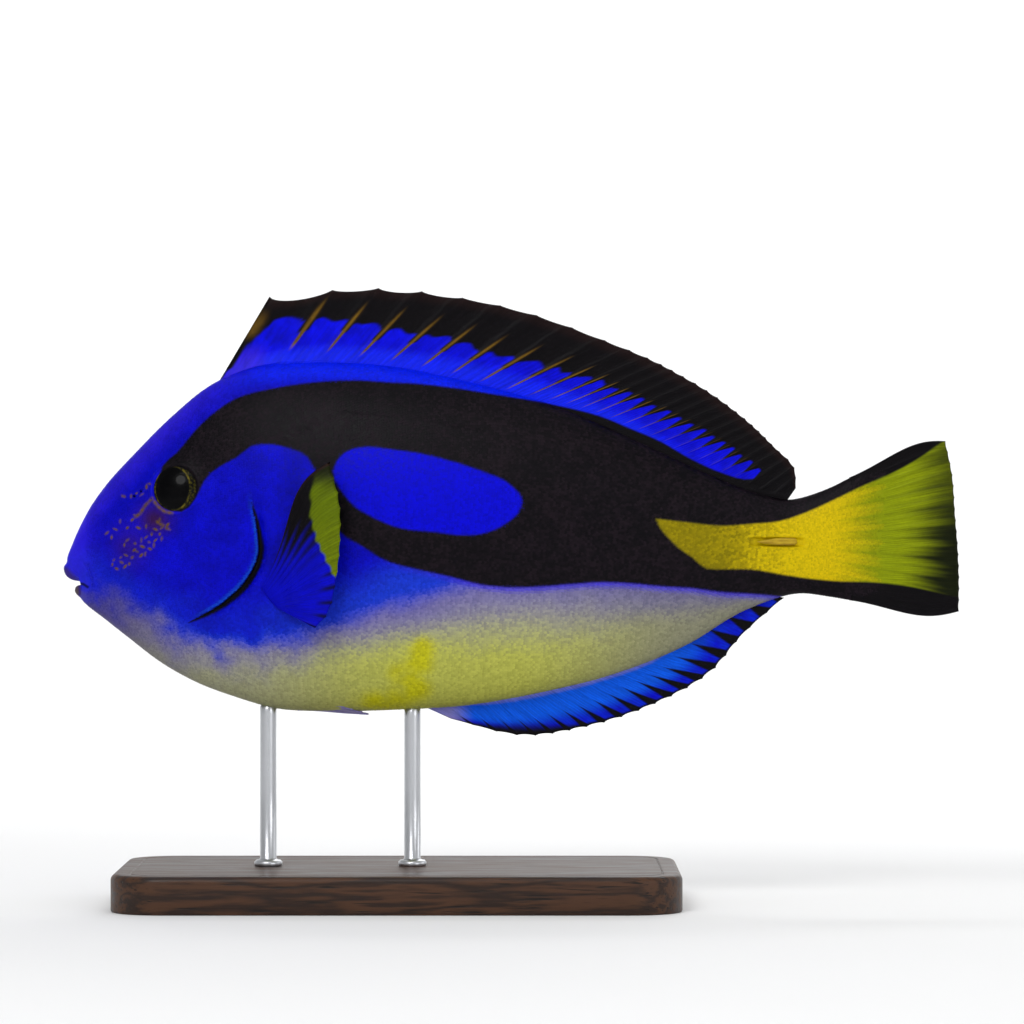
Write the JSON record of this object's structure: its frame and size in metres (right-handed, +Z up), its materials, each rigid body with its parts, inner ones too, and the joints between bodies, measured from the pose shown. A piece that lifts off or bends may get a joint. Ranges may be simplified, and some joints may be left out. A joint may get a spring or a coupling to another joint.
{
  "type": "regal blue tang model on a display stand",
  "caption": "Still, life-size model of a regal blue tang with raised fin rays, folded tail blades and spread fins, held by two rods over a flat base.",
  "frame": {"origin": "on the floor, under the middle of the fish's length and in its mid plane", "axes": "+X from the snout towards the tail fin, +Y towards the fish's right side, +Z up"},
  "size_m": [0.24, 0.084, 0.1648],
  "materials": {
    "blue_skin": "satin",
    "black_skin": "satin",
    "yellow_skin": "satin",
    "fin_blue": "satin",
    "fin_yellow": "satin",
    "eye": "glossy",
    "blade": "satin",
    "stand_wood": "satin",
    "stand_steel": "brushed"
  },
  "bodies": {
    "root": {"head": "blue_skin", "trunk": "black_skin", "tail_stalk": "yellow_skin", "dorsal_fin": "fin_blue", "anal_fin": "fin_blue", "caudal_fin": "fin_yellow", "pectoral_fin_left": "fin_blue", "pectoral_fin_right": "fin_blue", "pelvic_fin_left": "fin_blue", "pelvic_fin_right": "fin_blue", "eye_left": "eye", "eye_right": "eye", "scalpel_left": "blade", "scalpel_right": "blade", "stand_base": "stand_wood", "stand_rod_front": "stand_steel", "stand_rod_rear": "stand_steel"}
  },
  "joints": []
}
